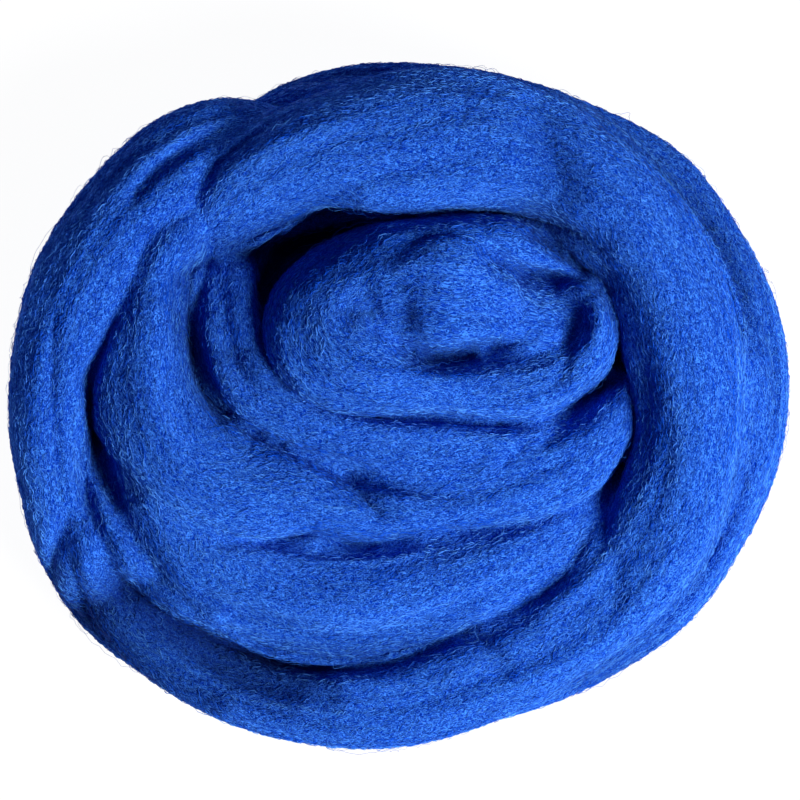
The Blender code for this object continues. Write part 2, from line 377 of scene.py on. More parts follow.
# Folds, each along a line of x, y, x, y and so on. It is deepest on the line and rises to nothing
# at its widths to the left and to the right of the line, seen the way the line runs. A depth below
# 0 is a ridge.
FOLDS = (
    # depth, left, right, line
    # the outer strand on the left
    (3.0, 2.5, 2.5, (-82, 26, -83, 12, -83, 0, -82, -15, -80.5, -29)),
    (1.5, 2.0, 2.5, (-79, 40, -72, 50, -62, 60, -50, 67)),
    (2.5, 2.5, 3.0, (-87, 30, -81, 43, -71, 55)),
    (7.0, 20.0, 1.8, (-72, 13, -74.5, 6, -75, 0, -74.5, -10, -72, -18, -67, -27)),
    (5.0, 3.0, 1.5, (-66, 25, -69, 18, -72, 11, -75, 7, -75, 0, -74, -10, -72, -18, -68, -25)),
    (2.5, 1.2, 3.0, (-51, 41, -50.5, 47, -47, 53, -42, 58.5, -36, 63.5, -31, 67.5, -24, 71)),
    (6.0, 4.0, 2.5, (-78.5, -24, -81.5, -32, -83.5, -38, -83.5, -46, -80, -56)),
    (1.0, 7.0, 7.0, (-48, 46, -53, 39, -57, 32, -60, 25, -64, 18)),
    # the inner turns on the left
    (9.0, 12.0, 8.0, (-45, 38, -49.5, 32, -51, 24, -51, 15, -50, 6, -47, -1, -41, -6)),
    (7.0, 6.0, 2.0, (-52, 36, -56, 28, -56, 20, -54, 12)),
    (3.0, 9.0, 10.0, (-47, 12, -42, 13, -36, 12, -31, 9.5)),
    (7.0, 5.0, 4.0, (-46, 37, -50.5, 32, -52, 24, -52, 15, -50, 6, -46, 0, -38, -6)),
    (4.5, 6.0, 2.0, (-50, 5, -46, 0, -40, -5, -32, -9, -24, -13, -17, -18, -11, -23.5, -5, -27.5,
                     1, -30)),
    (2.0, 8.0, 1.5, (-29, 41, -33, 32, -33, 23, -30, 16, -26, 11)),
    # round the crown
    (14.0, 1.2, 6.0, (-42, 35, -35, 37, -28, 39.5, -20, 42, -12, 43.5, -2, 44)),
    (16.0, 1.0, 17.0, (-33, 18, -34.5, 27, -31, 35, -26, 39, -20, 41.5, -12, 43.5, -4, 44.5)),
    (-2.0, 3.0, 7.0, (-8, 38, 2, 40, 10, 41, 20, 41)),
    (9.0, 10.0, 2.0, (-52, 38, -46, 37, -40, 37.5, -34, 39.5, -28, 42.5, -22, 45, -16, 46.5,
                      -8, 47)),
    (6.0, 1.5, 5.0, (-56, 31, -48, 34, -42, 36, -34, 38)),
    (2.5, 1.0, 2.5, (-10, 42.5, 0, 42.5, 8, 43, 16, 44, 24, 44, 32, 41.5)),
    (9.0, 7.0, 3.0, (4, 44.5, 14, 44.8, 22, 45, 28, 45, 34, 44, 40, 42, 46, 39.5, 52, 36)),
    (8.0, 12.0, 1.5, (18, 45, 26, 44.3, 31, 42.5, 35, 39.5, 39, 36, 43, 32.8, 48, 30, 54, 24)),
    (4.0, 1.2, 5.0, (-30, 11, -22, 4.5, -15, 1.5, -8, -0.5, 0, -2, 10, -3.5, 20, -5, 28, -4.5,
                     36, -4, 44, 0)),
    (3.5, 1.2, 6.0, (11, -4, 18, -5, 25, -5.5, 32, -5)),
    (3.5, 3.0, 4.0, (-24, 2, -18, -1, -12, -2.5, -4, -3.5, 4, -4.5)),
    (9.0, 1.2, 9.0, (20, 37, 24, 34.5, 28, 32.8, 33, 31.8, 38, 31, 44, 30)),
    (2.0, 3.5, 3.5, (39.5, 20, 41.5, 17.5, 40, 12)),
    (-4.0, 3.0, 3.0, (47, 25, 47.5, 19, 46.5, 12)),
    (3.0, 3.0, 3.0, (41, 14, 40, 8, 37, 4)),
    (7.0, 4.0, 5.0, (55, 8, 51, 5, 46, 2, 41, -2, 36, -5)),
    (2.5, 6.0, 6.0, (0, 24.5, 1, 20, 2.5, 15)),
    (-1.5, 4.0, 4.0, (-6, 34, -5, 28, -5, 22, -3, 17)),
    (5.0, 1.0, 6.0, (2, 16, 6, 12.5, 11, 11.3, 17, 11.8, 23, 13.3, 30, 16)),
    (4.0, 1.0, 7.0, (12, 10.8, 18, 11.5, 24, 13.5, 30, 15.5, 36, 18)),
    (12.0, 1.2, 5.0, (-2, 15.5, 2, 13, 6, 11.2, 10, 10.5, 15, 10.6, 19, 11.6)),
    # inside the great arch and outside it
    (8.0, 12.0, 3.0, (26, 45, 37, 38.5, 44, 32.5, 49.5, 27, 52.5, 20, 54.5, 12, 57.5, 4, 58, -4,
                      56.5, -11, 52, -17, 50, -24, 50.5, -32)),
    (11.0, 18.0, 1.5, (44, 68, 51, 65, 58, 60.5, 63.5, 55.5, 69, 49.5, 73, 44, 76.5, 38.5,
                       79.5, 32, 82, 25, 83.5, 18, 84.5, 10)),
    (4.5, 7.0, 1.5, (84, 14, 85, 2, 84.5, -10, 82.5, -20, 78, -32, 71, -44, 62, -54, 54, -60.5,
                     45, -66.5, 34, -72)),
    (4.0, 12.0, 14.0, (32, 74, 35, 64, 38, 56, 43, 46)),
    (1.2, 3.0, 3.0, (-20, 49, -5, 54, 10, 57, 26, 61)),
    (1.0, 3.0, 3.0, (-2, 65, 14, 69, 30, 70)),
    (1.0, 3.0, 3.0, (-27, 57, -12, 64, 4, 68)),
    (6.0, 4.0, 3.0, (-42, 72, -34, 75.5, -26, 78, -18, 79.5, -10, 80, 0, 80, 12, 79.5)),
    # the front turns
    (5.0, 1.2, 3.5, (-56, -30, -47, -33, -40, -33.5, -31, -33, -25, -31.5, -20, -31, -16, -32.5,
                     -12, -33.8, -6, -33.8, 0, -32.8, 6, -31.2, 12, -30.5, 22, -30, 31, -28.5,
                     38, -26, 44, -23.5, 50, -19)),
    (5.0, 1.0, 3.5, (-34, -32.5, -28, -32.5, -24, -31.8, -20, -31.5, -16, -32.5, -12, -33.8,
                     -8, -34)),
    (-2.0, 3.0, 3.0, (-28, -36.5, -20, -37.5, -10, -38, 0, -37, 8, -35.5)),
    (1.5, 1.0, 6.0, (8, -31.0, 14, -29.5, 22, -28.5, 34, -25.5)),
    (2.0, 1.5, 4.0, (33, -8, 29, -13, 23, -19)),
    (1.5, 1.5, 4.0, (22, -11, 18, -16, 11, -20)),
    (2.0, 1.5, 4.0, (46, -2, 40, -7, 33, -13)),
    (1.2, 2.0, 2.0, (-2, -8, 10, -10, 22, -12)),
    (1.2, 2.0, 2.0, (-6, -12, 8, -14, 22, -18)),
    (5.0, 1.5, 4.0, (-50, -45, -44, -47.5, -36, -50.5, -28, -52.5, -20, -54)),
    (4.0, 10.0, 1.5, (-75, -15, -70, -24, -66, -31, -61, -38.5, -55, -45.5, -46, -52)),
    (2.5, 4.0, 1.0, (-77, -24, -73, -31, -69, -38.5, -65, -46)),
    (9.0, 1.2, 5.0, (-56, -50.5, -45, -55.5, -38, -59, -30, -61.8, -20, -63.2, -10, -63.2,
                     0, -61.8, 8, -59, 18, -54.5)),
    (14.0, 1.2, 20.0, (-73, -37, -68, -41, -62, -46, -55, -51, -48, -55, -40, -59, -32, -62,
                       -22, -64, -14, -64)),
    (4.0, 1.2, 3.0, (12, -57, 20, -53, 27, -50.5, 33, -47.5, 38, -44, 42, -40.5, 44.5, -36,
                     47, -31)),
    (-4.0, 2.0, 4.0, (30, -52, 38, -48, 45, -43, 49, -37)),
    (3.0, 8.0, 3.0, (-13, -15, -11, -20, -8, -25, -4, -29)),
    (-3.0, 4.0, 4.0, (-12, -20.5, -4, -22.5, 4, -23.5, 12, -23.5)),
    (1.5, 3.0, 3.0, (50.5, -32, 52, -42, 51, -55)),
    (3.5, 5.0, 5.0, (14, -55, 21, -59, 26, -66)),
    # the outer turns: broad hollows, and creases near the outline
    (8.0, 12.0, 12.0, (-88, -38, -82, -47, -75, -55, -66, -61, -56, -67, -42, -75)),
    (8.0, 30.0, 8.0, (-56, -42, -64, -45, -70, -47, -77, -49.5, -86, -53)),
    (11.0, 10.0, 1.2, (-44, -54, -36, -58, -28, -60.5, -18, -62, -8, -62, 2, -60, 12, -57,
                       20, -54)),
    (4.0, 8.0, 8.0, (-62, -50, -54, -56, -46, -62, -36, -68, -24, -72)),
    (2.0, 5.0, 5.0, (-14, -64, -4, -66, 6, -66, 14, -63)),
    (9.0, 8.0, 8.0, (38, -72, 50, -68, 60, -62, 68, -54)),
    (6.0, 3.0, 3.0, (-76, -8, -76, -16, -75, -24, -72, -32)),
    (5.0, 2.5, 4.0, (-66, 46, -58, 56, -48, 63, -38, 68)),
    (3.0, 3.0, 3.0, (-46, 68, -38, 73, -30, 76.5, -20, 79)),
    (5.0, 4.0, 6.0, (88, 24, 91, 12, 92, 0, 90, -12)),
    (1.5, 8.0, 8.0, (-50, -58, -40, -63, -30, -67, -18, -69, -4, -69)),
)
FOLD_STEP = 2.0            # along a fold's line
FOLD_TAPER = 0.7           # how abruptly a fold starts and ends
FOLD_FOOT = 30.0           # below this height a fold presses less

JOIN_DEPTH = 0.8           # valley where two strands meet
JOIN_REACH = 1.5
RELAX_ROUNDS = 3           # rounds in which the pressed skin gives
SPREAD_ROUNDS = 2          # rounds in which a height or a depth spreads to its neighbours

SHADE_NAME = "shade"       # painted shade at each vertex: 1 on a crest, less the deeper the fold it lies in
SHADE_DEPTH = 16.0         # a fold of this depth gets the darkest painted shade
SHADE_LEAST = 0.1

STRAND_NAME = "strand"     # where a corner lies in its strand: along, across and up
STRAND_GAP = 3000.0        # between the places of two strands

# Fine sweep of the strand
SECTION_STEP = 2.0         # along the strand, between two sections
SECTION_SIDES = 48
SECTION_POWER = 2.2        # 2 is an ellipse, more is boxier
END_LENGTH = 9.0           # each end is rounded off over this length
END_OPEN = 0.02            # the share of that length where the flat cap closes the nose

# Skin
VOXEL = 0.95               # size of the skin's faces
SOFTENING = 4              # rounds of smoothing after the turns are merged
SOFTENING_SHARE = 0.5      # of the way to its neighbours' mean that a vertex goes in a round
LABEL_ROUNDS = 4           # rounds in which a face takes the strand that most neighbours have

# Waves that run along the strand: length, how many cells round the strand, height, seed
RIDGES = (
    (75.0, 5, 2.0, 11),
    (45.0, 14, 1.6, 12),
    (25.0, 34, 0.8, 13),
)
STREAKS = (                # the height is how pale the combed wool is
    (45.0, 24, 0.9, 21),
    (24.0, 60, 0.9, 22),
)
NOISE_CELLS = 256
STRAND_SHIFT = 37.0        # cells by which one strand's waves are off the next one's
RIDGE_FADE = 2.5           # the ridges die out this near to another strand


def along(rows, step):
    """A table's rows, read every step millimetres on a smooth curve (Catmull-Rom) through them."""
    rows = np.array(rows, dtype=float)
    padded = np.vstack([2 * rows[0] - rows[1], rows, 2 * rows[-1] - rows[-2]])
    pieces = []
    for before, start, end, after in zip(padded, padded[1:], padded[2:], padded[3:]):
        count = max(1, round(np.linalg.norm((end - start)[PLACE]) / step))
        t = (np.arange(count) / count)[:, None]
        pieces.append(0.5 * (2 * start + (end - before) * t
                             + (2 * before - 5 * start + 4 * end - after) * t ** 2
                             + (3 * start - before - 3 * end + after) * t ** 3))
    return np.vstack(pieces + [rows[-1:]])


def unit(vectors):
    return vectors / np.maximum(np.linalg.norm(vectors, axis=-1, keepdims=True), TINY)


def add_object(name, data):
    obj = bpy.data.objects.new(name, data)
    bpy.context.scene.collection.objects.link(obj)
    return obj


class Strand:
    """One stretch of the strand, swept finely, which can say where on it a point lies."""

    def __init__(self, table):
        rows = along(table, SECTION_STEP)
        steps = np.linalg.norm(np.diff(rows[:, PLACE], axis=0), axis=1)
        self.travelled = np.concatenate([[0.0], np.cumsum(steps)])
        to_end = np.minimum(self.travelled, self.travelled[-1] - self.travelled)
        share = np.clip(to_end / END_LENGTH, END_OPEN, 1.0)
        rows[:, SIZE] *= np.sqrt(1.0 - (1.0 - share) ** 2)[:, None]
        self.centres = rows[:, PLACE]
        self.size = rows[:, SIZE]
        self.ahead = unit(np.gradient(self.centres, axis=0))
        self.across = unit(np.cross(self.ahead, (0.0, 0.0, 1.0)))
        self.upward = np.cross(self.across, self.ahead)
        self.points = self.surface()
        self.quads = self.rings()
        self.tree = BVHTree.FromPolygons(self.points.tolist(), self.quads.tolist())

    def surface(self):
        angles = np.linspace(0.0, 2 * np.pi, SECTION_SIDES, endpoint=False)
        corners = np.column_stack([np.cos(angles), np.sin(angles)])
        corners = np.sign(corners) * np.abs(corners) ** (2.0 / SECTION_POWER)
        sideways = self.across[:, None] * self.size[:, None, :1] * corners[None, :, :1]
        upwards = self.upward[:, None] * self.size[:, None, 1:] * corners[None, :, 1:]
        return (self.centres[:, None] + sideways + upwards).reshape(-1, 3)

    def rings(self):
        ring, side = np.meshgrid(np.arange(len(self.centres) - 1), np.arange(SECTION_SIDES),
                                 indexing="ij")
        here = ring * SECTION_SIDES
        beside = (side + 1) % SECTION_SIDES
        quads = np.stack([here + side, here + beside, here + SECTION_SIDES + beside,
                          here + SECTION_SIDES + side], axis=-1)
        return quads.reshape(-1, 4)

    def read(self, points):
        """For each point: how far along the strand, the angle from its top, and the frame there."""
        ring = np.array([self.tree.find_nearest(point)[2] for point in points]) // SECTION_SIDES
        step = self.centres[ring + 1] - self.centres[ring]
        offset = points - self.centres[ring]
        share = (offset * step).sum(1) / np.maximum((step ** 2).sum(1), TINY)
        share = np.clip(share, 0.0, 1.0)

        def between(values):
            return values[ring] + (values[ring + 1] - values[ring]) * share[:, None]

        found = {name: between(getattr(self, name)) for name in ("ahead", "across", "upward")}
        found["centre"] = between(self.centres)
        found["travelled"] = between(self.travelled[:, None])[:, 0]
        from_centre = points - found["centre"]
        sideways, upwards = ((from_centre * found[name]).sum(1) for name in ("across", "upward"))
        size = between(self.size)
        found["angle"] = np.arctan2(sideways / size[:, 0], upwards / size[:, 1])
        return found


def merged_skin(strands):
    """All the turns in one object, remeshed so that they flow into each other, and softened."""
    points, faces, start = [], [], 0
    for strand in strands:
        last = len(strand.points) - SECTION_SIDES
        points.append(strand.points)
        faces += (strand.quads + start).tolist()
        faces.append([start + side for side in reversed(range(SECTION_SIDES))])
        faces.append([start + last + side for side in range(SECTION_SIDES)])
        start += len(strand.points)
    mesh = bpy.data.meshes.new("wool_skin")
    mesh.from_pydata((np.vstack(points) * MM).tolist(), [], faces)
    mesh.update()
    skin = add_object("wool_skin", mesh)

    remesh = skin.modifiers.new("merge", "REMESH")
    remesh.mode = "VOXEL"
    remesh.voxel_size = VOXEL * MM
    soften = skin.modifiers.new("soften", "SMOOTH")
    soften.factor = SOFTENING_SHARE
    soften.iterations = SOFTENING
    evaluated = skin.evaluated_get(bpy.context.evaluated_depsgraph_get())
    mesh = bpy.data.meshes.new_from_object(evaluated)
    skin.modifiers.clear()
    skin.data = mesh
    return skin


def largest_shell(points, quads):
    """The mesh without the specks that the merging leaves in tight corners."""
    shell = np.arange(len(points))
    while True:
        lowest = shell[quads].min(axis=1)
        spread = shell.copy()
        for corner in quads.T:
            np.minimum.at(spread, corner, lowest)
        spread = spread[spread]
        if (spread == shell).all():
            break
        shell = spread
    names, counts = np.unique(shell[quads[:, 0]], return_counts=True)
    kept = quads[shell[quads[:, 0]] == names[counts.argmax()]]
    used, renumbered = np.unique(kept, return_inverse=True)
    return points[used], renumbered.reshape(kept.shape)


def vertex_mean(quads, corner_values, count):
    """The mean at each vertex of what its face corners say."""
    flat = corner_values.reshape(quads.size, -1)
    total = np.zeros((count, flat.shape[1]))
    np.add.at(total, quads.ravel(), flat)
    shares = np.bincount(quads.ravel(), minlength=count)
    return total / shares[:, None]


def diagonal_cross(points, quads):
    """The cross product of each face's diagonals. It is twice as long as the face is large."""
    return np.cross(points[quads[:, 2]] - points[quads[:, 0]],
                    points[quads[:, 3]] - points[quads[:, 1]])


def face_normals(points, quads):
    return unit(diagonal_cross(points, quads))


def vertex_normals(points, quads):
    normals = face_normals(points, quads)
    return unit(vertex_mean(quads, np.repeat(normals[:, None], 4, axis=1), len(points)))


def strand_of_faces(points, quads, strands):
    """The number of each face's strand. Stray faces take their neighbours' strand."""
    every_point = np.vstack([strand.points for strand in strands])
    starts = np.cumsum([0] + [len(strand.points) for strand in strands[:-1]])
    every_quad = np.vstack([strand.quads + start for strand, start in zip(strands, starts)])
    owner = np.repeat(np.arange(len(strands)), [len(strand.quads) for strand in strands])
    tree = BVHTree.FromPolygons(every_point.tolist(), every_quad.tolist())
    nearest = owner[[tree.find_nearest(point)[2] for point in points]]
    share = np.eye(len(strands))[nearest]
    for _ in range(LABEL_ROUNDS):
        face_share = share[quads].mean(axis=1)
        share = vertex_mean(quads, np.repeat(face_share[:, None], 4, axis=1), len(points))
    return share[quads].mean(axis=1).argmax(axis=1)


class StrandFrame:
    """For each face corner: how far along its strand, the angle round it, and the frame there."""

    def __init__(self, points, quads, owner, strands):
        self.travelled, self.angle = np.zeros(quads.shape), np.zeros(quads.shape)
        self.centre, self.ahead, self.across, self.upward = np.zeros((4,) + quads.shape + (3,))
        for number, strand in enumerate(strands):
            mine = owner == number
            used, place = np.unique(quads[mine], return_inverse=True)
            place = place.reshape(-1, 4)
            for name, values in strand.read(points[used]).items():
                getattr(self, name)[mine] = values[place]
        over_seam = np.ptp(self.angle, axis=1) > np.pi
        self.angle[over_seam] = self.angle[over_seam] % (2 * np.pi)

    def inside(self, corners):
        """Where the corners lie in their strand: millimetres along it, across it and up."""
        offset = corners - self.centre
        return np.stack([self.travelled, (offset * self.across).sum(-1),
                         (offset * self.upward).sum(-1)], axis=-1)


def noise(along_cells, round_cells, seed, count_around):
    """Smooth noise from -1 to 1. It closes on itself once round the strand."""
    cells = np.random.default_rng(seed).uniform(-1.0, 1.0, (NOISE_CELLS, count_around))
    i, j = np.floor(along_cells).astype(int), np.floor(round_cells).astype(int)
    a, b = along_cells - i, round_cells - j
    a, b = a * a * (3 - 2 * a), b * b * (3 - 2 * b)

    def cell(di, dj):
        return cells[(i + di) % NOISE_CELLS, (j + dj) % count_around]

    return ((cell(0, 0) * (1 - a) + cell(1, 0) * a) * (1 - b)
            + (cell(0, 1) * (1 - a) + cell(1, 1) * a) * b)


def lengthwise(waves, travelled, angle, owner):
    """The sum of the waves that run along the strands, at each face corner."""
    value = np.zeros(travelled.shape)
    shift = STRAND_SHIFT * owner[:, None]
    for length, count_around, tall, seed in waves:
        round_cells = angle / (2 * np.pi) * count_around
        value += tall * noise(travelled / length + shift, round_cells, seed, count_around)
    return value


def distance_to_line(points, line):
    """Distance in plan from each point to a line, above 0 on its left, and how far along it."""
    lengths = np.linalg.norm(np.diff(line, axis=0), axis=1)
    reached = np.concatenate([[0.0], np.cumsum(lengths)]) / lengths.sum()
    best = np.full(len(points), np.inf)
    side, place = np.zeros((2, len(points)))
    for start, step, before, after in zip(line, np.diff(line, axis=0), reached, reached[1:]):
        from_start = points[:, :2] - start
        share = np.clip((from_start @ step) / (step @ step), 0.0, 1.0)
        distance = np.linalg.norm(from_start - share[:, None] * step, axis=1)
        closer = distance < best
        best[closer] = distance[closer]
        place[closer] = (before + share * (after - before))[closer]
        side[closer] = np.sign(step[0] * from_start[:, 1] - step[1] * from_start[:, 0])[closer]
    return best * np.where(side < 0, -1.0, 1.0), place


def folds(points):
    """Depth of the folds at each vertex."""
    depth = np.zeros(len(points))
    for deepest, left, right, line in FOLDS:
        distance, place = distance_to_line(points, along(np.reshape(line, (-1, 2)), FOLD_STEP))
        width = np.where(distance > 0, left, right)
        rise = np.clip(1.0 - np.abs(distance) / width, 0.0, 1.0)
        taper = np.sin(np.pi * np.clip(place, 0.0, 1.0)) ** FOLD_TAPER
        depth += deepest * rise ** 2 * taper
    return depth


def second_nearest(points, strands):
    """Distance from each point to the second nearest strand. It is small where two strands meet."""
    farthest = 4 * JOIN_REACH
    nearest = np.full((len(points), 2), farthest)
    for strand in strands:
        found = [strand.tree.find_nearest(point, farthest)[3] for point in points]
        distance = np.array([farthest if one is None else one for one in found])
        nearest = np.sort(np.column_stack([nearest, distance]), axis=1)[:, :2]
    return nearest[:, 1]


def blurred(quads, values, rounds):
    """Vertex values, each round taking the mean of its faces' means."""
    for _ in range(rounds):
        face = values[quads].mean(axis=1)
        values = vertex_mean(quads, np.repeat(face[:, None], 4, axis=1), len(values))
    return values


def build_mesh(name, points, faces):
    mesh = bpy.data.meshes.new(name)
    mesh.vertices.add(len(points))
    mesh.vertices.foreach_set("co", (points * MM).ravel())
    mesh.loops.add(faces.size)
    mesh.loops.foreach_set("vertex_index", faces.ravel())
    mesh.polygons.add(len(faces))
    mesh.polygons.foreach_set("loop_start", np.arange(0, faces.size, faces.shape[1]))
    mesh.update(calc_edges=True)
    mesh.shade_smooth()
    return mesh


def add_values(mesh, name, values):
    """A number at each vertex, for the materials."""
    mesh.attributes.new(name, "FLOAT", "POINT").data.foreach_set("value", values)


def add_piece(name, mesh, material):
    """A piece of the roving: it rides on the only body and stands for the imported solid."""
    mesh.materials.append(material)
    piece = add_object(name, mesh)
    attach(piece, BODY)
    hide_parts(NODE)


class Skin:
    """The skin's vertices and faces in millimetres, and where on the strand each face lies."""

    def __init__(self, strands):
        merged = merged_skin(strands)
        count = len(merged.data.polygons)
        points = np.zeros(len(merged.data.vertices) * 3)
        merged.data.vertices.foreach_get("co", points)
        quads = np.zeros(count * 4, np.int32)
        merged.data.polygons.foreach_get("vertices", quads)
        bpy.data.objects.remove(merged, do_unlink=True)
        self.points, self.quads = largest_shell(points.reshape(-1, 3) / MM,
                                                quads.reshape(-1, 4).astype(int))
        self.owner = strand_of_faces(self.points, self.quads, strands)
        self.frame = StrandFrame(self.points, self.quads, self.owner, strands)
        self.second = second_nearest(self.points, strands)
        self.shape()
        self.tree = BVHTree.FromPolygons(self.points.tolist(), self.quads.tolist())
        self.normals = vertex_normals(self.points, self.quads)
        self.face_normals = face_normals(self.points, self.quads)
        self.face_ahead = unit(self.frame.ahead.mean(axis=1))

    def shape(self):
        """Sink the valleys, press the folds, relax, paint shade by how deep each fold is pressed,
        raise the ridges, and level the underside.
        """
        normals = vertex_normals(self.points, self.quads)
        nearness = np.exp(-self.second / JOIN_REACH)[:, None]
        self.points = self.points - normals * JOIN_DEPTH * nearness
        fullness = np.clip(self.points[:, 2] / FOLD_FOOT, 0.0, 1.0)
        pressed = folds(self.points) * fullness
        self.points[:, 2] -= pressed
        self.points = blurred(self.quads, self.points, RELAX_ROUNDS)
        # Painted shade: the deeper a vertex is pressed into a fold, the darker its colour is made.
        painted_shade_share = blurred(self.quads, pressed, SPREAD_ROUNDS)[:, 0] / SHADE_DEPTH
        self.shade = np.clip(1.0 - painted_shade_share, SHADE_LEAST, 1.0)
        normals = vertex_normals(self.points, self.quads)
        height, streak = self.waves(RIDGES), self.waves(STREAKS)
        self.streak = streak[:, 0]
        height *= 1.0 - np.exp(-self.second / RIDGE_FADE)[:, None]
        self.points = self.points + normals * blurred(self.quads, height, SPREAD_ROUNDS)
        self.points[:, 2] = np.maximum(self.points[:, 2], 0.0)

    def waves(self, rows):
        at_corners = lengthwise(rows, self.frame.travelled, self.frame.angle, self.owner)
        return vertex_mean(self.quads, at_corners, len(self.points))

    def pieces(self, material):
        """The outer coil and the turns inside it as two pieces, shaded as one across the join."""
        inside = self.frame.inside(self.points[self.quads])
        inside[:, :, 0] += STRAND_GAP * self.owner[:, None]
        for name, mine in (("skin_outer", self.owner == 0), ("skin_inner", self.owner != 0)):
            used, place = np.unique(self.quads[mine], return_inverse=True)
            mesh = build_mesh(name, self.points[used], place.reshape(-1, 4))
            layer = mesh.attributes.new(STRAND_NAME, "FLOAT_VECTOR", "CORNER")
            layer.data.foreach_set("vector", inside[mine].ravel())
            # the painted shade of the folds, for the material
            add_values(mesh, SHADE_NAME, self.shade[used])
            add_values(mesh, TONE_NAME, self.streak[used])
            mesh.normals_split_custom_set_from_vertices(self.normals[used].tolist())
            add_piece(name, mesh, material)


def choose_faces(skin, count, rng):
    """Faces for fibres to start from: most in the open, few on the underside or deep in a fold."""
    centres = skin.points[skin.quads].mean(axis=1)
    chance = np.linalg.norm(diagonal_cross(skin.points, skin.quads), axis=1)
    for i, (centre, normal) in enumerate(zip(centres, skin.face_normals)):
        if skin.tree.ray_cast(centre + normal * FOLD_CLEAR, normal, FOLD_REACH)[0] is not None:
            chance[i] *= FOLDED_SHARE
    chance *= np.interp(skin.face_normals[:, 2], FACE_TILTS, TILT_SHARES)
    return rng.choice(len(centres), count, p=chance / chance.sum())


def turned(ahead, normal, angle):
    """The way ahead laid in the surface and turned about its normal."""
    flat = unit(ahead - normal * (ahead * normal).sum(1, keepdims=True))
    beside = np.cross(normal, flat)
    return flat * np.cos(angle)[:, None] + beside * np.sin(angle)[:, None]


def walk(skin, faces, step, turn, joints, rng):
    """Points on the skin a step at a time along the strand, with the skin's normals there."""
    a, b = rng.random((2, len(faces), 1))
    corner = skin.points[skin.quads[faces]]
    place = ((corner[:, 0] * (1 - a) + corner[:, 1] * a) * (1 - b)
             + (corner[:, 3] * (1 - a) + corner[:, 2] * a) * b)
    normal = skin.face_normals[faces].copy()
    places, normals = [place], [normal]
    for _ in range(joints - 1):
        place = place + turned(skin.face_ahead[faces], normal, turn) * step[:, None]
        found = [skin.tree.find_nearest(point) for point in place]
        place = np.array([hit[0] for hit in found])
        faces = np.array([hit[2] for hit in found])
        normal = unit(normal + skin.face_normals[faces])
        places.append(place)
        normals.append(normal)
    return np.stack(places, axis=1), np.stack(normals, axis=1)


def laid(skin, count, joints, lengths, turn, rng):
    """Lines laid on the skin: their first faces, lengths, places, normals and ways across."""
    usual, spread, shortest, longest = lengths
    faces = choose_faces(skin, count, rng)
    length = np.clip(rng.lognormal(math.log(usual), spread, count), shortest, longest)
    turns = rng.normal(0.0, turn, count)
    places, normals = walk(skin, faces, length / (joints - 1), turns, joints, rng)
    beside = np.cross(normals, unit(np.gradient(places, axis=1)))
    return faces, length, places, normals, beside


def spindles(paths, normals, radius):
    """Thin tubes along the paths, pointed at both ends, as points and triangles."""
    count, joints = paths.shape[:2]
    ahead = unit(np.gradient(paths, axis=1))
    beside = unit(np.cross(ahead, normals))
    upward = np.cross(beside, ahead)
    rings = []
    for k in range(FIBRE_SIDES):
        angle = math.pi / 2 + k * 2 * math.pi / FIBRE_SIDES
        outward = beside[:, 1:-1] * math.cos(angle) + upward[:, 1:-1] * math.sin(angle)
        rings.append(paths[:, 1:-1] + outward * radius[:, None, None])
    rings = np.stack(rings, axis=2).reshape(count, -1, 3)
    points = np.concatenate([paths[:, :1], rings, paths[:, -1:]], axis=1)

    triangles = []
    last = FIBRE_SIDES * (joints - 2) + 1
    for k in range(FIBRE_SIDES):
        after = (k + 1) % FIBRE_SIDES
        triangles.append((0, 1 + after, 1 + k))
        triangles.append((last, last - FIBRE_SIDES + k, last - FIBRE_SIDES + after))
        for ring in range(joints - 3):
            near = 1 + FIBRE_SIDES * ring
            far = near + FIBRE_SIDES
            triangles.append((near + k, near + after, far + after))
            triangles.append((near + k, far + after, far + k))
    triangles = np.array(triangles)
    every = triangles[None] + (np.arange(count) * points.shape[1])[:, None, None]
    return points.reshape(-1, 3), every.reshape(-1, 3)


def lying_fibres(skin, rng):
    """Short crimped fibres that lie along the strand, their ends tucked into the skin."""
    count, joints = FIBRES_EACH, FIBRE_JOINTS
    faces, _, places, normals, beside = laid(skin, count, joints, FIBRE_LENGTHS, FIBRE_TURN, rng)
    side = rng.choice((-1.0, 1.0), count)[:, None] * (-1.0) ** np.arange(joints)
    crimp = side * rng.uniform(*CRIMP_SHARES, (count, joints)) * FIBRE_CRIMP
    arch = np.sin(np.pi * np.arange(joints) / (joints - 1))
    loft = (FIBRE_SUNK + arch * rng.exponential(FIBRE_LOFT, count)[:, None]
            + rng.normal(0, FIBRE_ROUGHNESS, crimp.shape))
    loft = np.minimum(loft, FIBRE_HIGHEST) + arch * FIBRE_LEAST_LOFT
    paths = places + beside * crimp[:, :, None] + normals * loft[:, :, None]
    return paths, normals, rng.uniform(*FIBRE_RADIUS, count), faces


def stray_hairs(skin, rng):
    """Long curly hairs that stand clear of the skin."""
    count, joints = HAIRS, HAIR_JOINTS
    faces, length, places, normals, beside = laid(skin, count, joints, HAIR_LENGTHS, HAIR_TURN, rng)
    share = np.arange(joints) / (joints - 1)
    phase = rng.uniform(0, 2 * np.pi, (count, 1))
    pitch = rng.uniform(*HAIR_PITCH, (count, 1))
    swing = 2 * np.pi * share * length[:, None] / pitch + phase
    curl = rng.uniform(*HAIR_CURL, (count, 1))
    wander = np.cumsum(rng.normal(0, HAIR_WANDER, (count, joints)), axis=1)
    arch = np.sin(np.pi * share) ** HAIR_TAPER
    loft = (FIBRE_SUNK + arch * rng.uniform(*HAIR_LOFT, (count, 1))
            + arch * np.cos(swing) * curl * HAIR_CURL_RISE)
    sideways = np.sin(swing) * curl + wander * arch
    paths = places + beside * sideways[:, :, None] + normals * loft[:, :, None]
    return paths, normals, rng.uniform(*HAIR_RADIUS, count), faces


